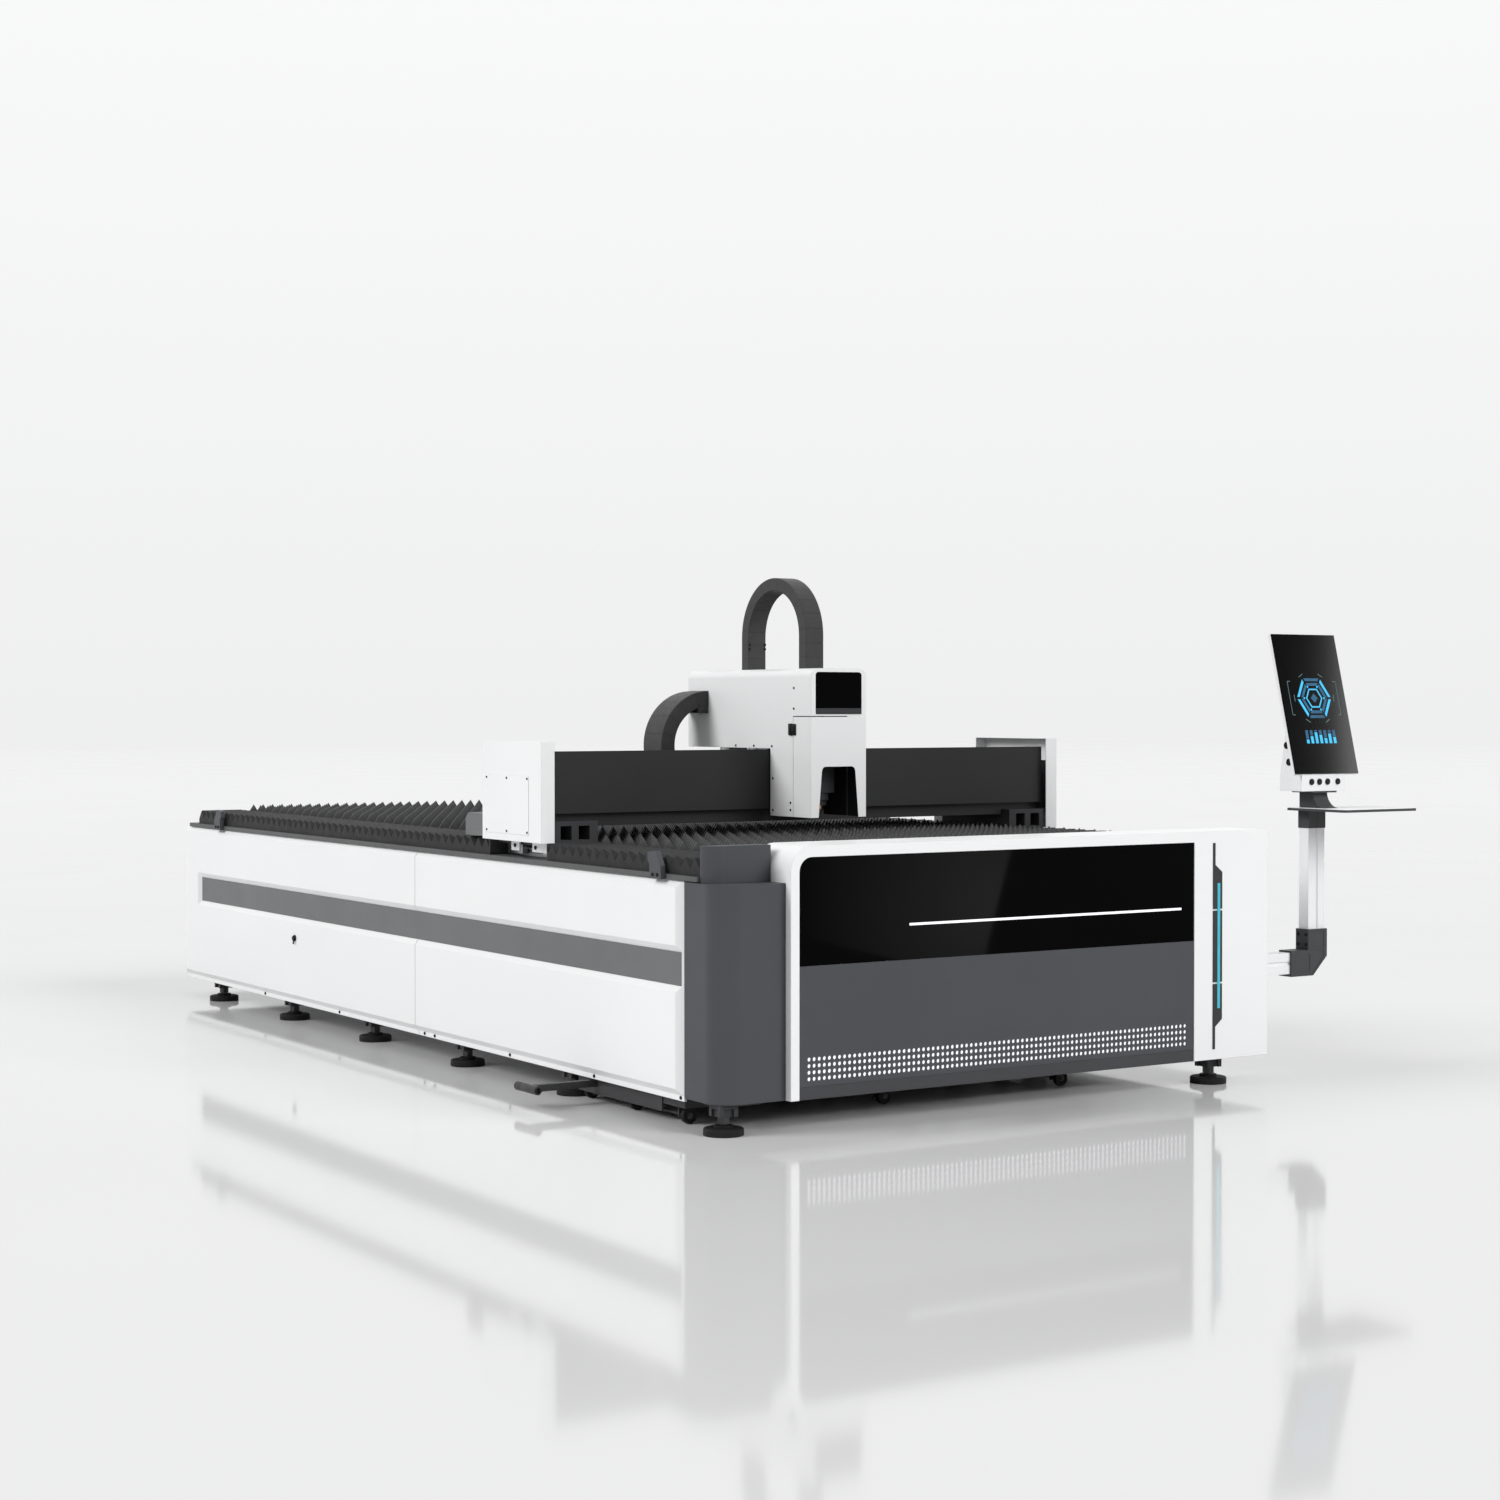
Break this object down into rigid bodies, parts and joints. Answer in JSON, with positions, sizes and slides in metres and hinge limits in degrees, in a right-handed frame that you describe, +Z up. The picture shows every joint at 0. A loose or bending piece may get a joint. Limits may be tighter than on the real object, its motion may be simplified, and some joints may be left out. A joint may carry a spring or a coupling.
{
  "type": "fiber laser cutting machine",
  "caption": "Flatbed fiber laser cutter with a slat table, a travelling bridge and cutting head, bellows way covers, a swivelling console and a roll-out scrap cart.",
  "frame": {"origin": "middle of the machine's box on the floor", "axes": "+Z up, +Y from the front cabinet to the rear along the bed, +X to the console side"},
  "size_m": [3.056, 4.68, 1.7479],
  "materials": {
    "white_paint": "gloss",
    "grey_paint": "satin",
    "strip_grey": "satin",
    "frame_paint": "satin",
    "charcoal_paint": "satin",
    "black_glass": "gloss",
    "screen_glass": "gloss",
    "light": "gloss",
    "cyan_light": "gloss",
    "rail_steel": "ground",
    "slat_steel": "mill",
    "base_grey": "satin",
    "bellows_cloth": "coated",
    "black_plastic": "matte",
    "chain_plastic": "matte",
    "aluminium_grey": "cast",
    "console_white": "satin",
    "head_dark": "anodised",
    "copper": "polished",
    "foot_rubber": "matte",
    "cart_paint": "satin",
    "handle_zinc": "zinc",
    "wheel_rubber": "matte"
  },
  "bodies": {
    "machine": {"bed_frame": "frame_paint", "levelling_feet": "foot_rubber", "side_panels_left": "white_paint", "side_panels_right": "white_paint", "accent_strips": "strip_grey", "rear_panel": "white_paint", "corner_post": "grey_paint", "corner_cap": "grey_paint", "front_frame": "white_paint", "window_panel": "black_glass", "light_bar": "light", "vent_panel": "grey_paint", "kick_plate": "grey_paint", "accent_trim": "grey_paint", "accent_led": "cyan_light", "rail_bases": "base_grey", "linear_rails": "rail_steel", "gear_racks": "rail_steel", "stop_brackets": "grey_paint", "bellows_front": "bellows_cloth", "bellows_rear": "bellows_cloth", "slat_racks": "frame_paint", "slats": "slat_steel", "panel_lock": "black_plastic", "console_arm": "console_white", "console_elbow": "aluminium_grey", "console_post": "console_white"},
    "bridge": {"beam": "charcoal_paint", "beam_cover": "charcoal_paint", "trucks": "frame_paint", "bearing_blocks": "rail_steel", "end_boxes": "white_paint", "access_covers": "white_paint", "drive_guards": "strip_grey", "beam_rails": "rail_steel", "chain_tray": "charcoal_paint", "chain_run": "chain_plastic"},
    "carriage": {"saddle": "head_dark", "saddle_blocks": "rail_steel", "head_cover": "white_paint", "head_window": "black_glass", "z_chain": "chain_plastic", "x_chain": "chain_plastic", "door_hinges": "black_plastic"},
    "head": {"cutting_head": "head_dark", "nozzle": "copper"},
    "door": {"head_door": "white_paint"},
    "console": {"swivel_head": "aluminium_grey", "keyboard_tray": "handle_zinc", "console_housing": "console_white", "screen": "screen_glass"},
    "button_1": {"button_1": "black_plastic"},
    "button_2": {"button_2": "black_plastic"},
    "button_3": {"button_3": "black_plastic"},
    "button_4": {"button_4": "black_plastic"},
    "cart": {"cart_pan": "cart_paint", "cart_handle": "handle_zinc"},
    "wheels_left": {"wheelset_left": "wheel_rubber"},
    "wheels_middle": {"wheelset_middle": "wheel_rubber"},
    "wheels_right": {"wheelset_right": "wheel_rubber"}
  },
  "joints": [
    {"name": "bridge_travel", "type": "slide", "parent": "machine", "child": "bridge", "axis": [0, 1, 0], "range_m": [-0.7, 2.499], "deforming": ["bellows_front", "bellows_rear"]},
    {"name": "carriage_travel", "type": "slide", "parent": "bridge", "child": "carriage", "axis": [1, 0, 0], "range_m": [-0.66, 0.83]},
    {"name": "head_lift", "type": "slide", "parent": "carriage", "child": "head", "axis": [0, 0, 1], "range_m": [-0.045, 0.075]},
    {"name": "door_swing", "type": "hinge", "parent": "carriage", "child": "door", "pos_m": [-0.1448, -1.22425, 1.078], "axis": [0, 0, 1], "range_deg": [0, 110]},
    {"name": "console_swivel", "type": "hinge", "parent": "machine", "child": "console", "pos_m": [1.258, -2.091, 0.858], "axis": [0, 0, 1], "range_deg": [-60, 60]},
    {"name": "button_1_press", "type": "slide", "parent": "console", "child": "button_1", "axis": [0, 1, 0], "range_m": [0, 0.003], "stiffness_N_per_m": 600},
    {"name": "button_2_press", "type": "slide", "parent": "console", "child": "button_2", "axis": [0, 1, 0], "range_m": [0, 0.003], "stiffness_N_per_m": 600},
    {"name": "button_3_press", "type": "slide", "parent": "console", "child": "button_3", "axis": [0, 1, 0], "range_m": [0, 0.003], "stiffness_N_per_m": 600},
    {"name": "button_4_press", "type": "slide", "parent": "console", "child": "button_4", "axis": [0, 1, 0], "range_m": [0, 0.003], "stiffness_N_per_m": 600},
    {"name": "cart_roll", "type": "slide", "parent": "machine", "child": "cart", "axis": [-1, 0, 0], "range_m": [0, 1.4]},
    {"name": "wheels_left_spin", "type": "hinge", "parent": "cart", "child": "wheels_left", "pos_m": [-1.232, -1.60304, 0.025], "axis": [0, -1, 0], "continuous": true},
    {"name": "wheels_middle_spin", "type": "hinge", "parent": "cart", "child": "wheels_middle", "pos_m": [-0.494, -1.60304, 0.025], "axis": [0, -1, 0], "continuous": true},
    {"name": "wheels_right_spin", "type": "hinge", "parent": "cart", "child": "wheels_right", "pos_m": [0.244, -1.60304, 0.025], "axis": [0, -1, 0], "continuous": true}
  ],
  "couplings": [
    {"joint": "wheels_left_spin", "follows": "cart_roll", "rad_per_m": 40},
    {"joint": "wheels_middle_spin", "follows": "cart_roll", "rad_per_m": 40},
    {"joint": "wheels_right_spin", "follows": "cart_roll", "rad_per_m": 40}
  ]
}
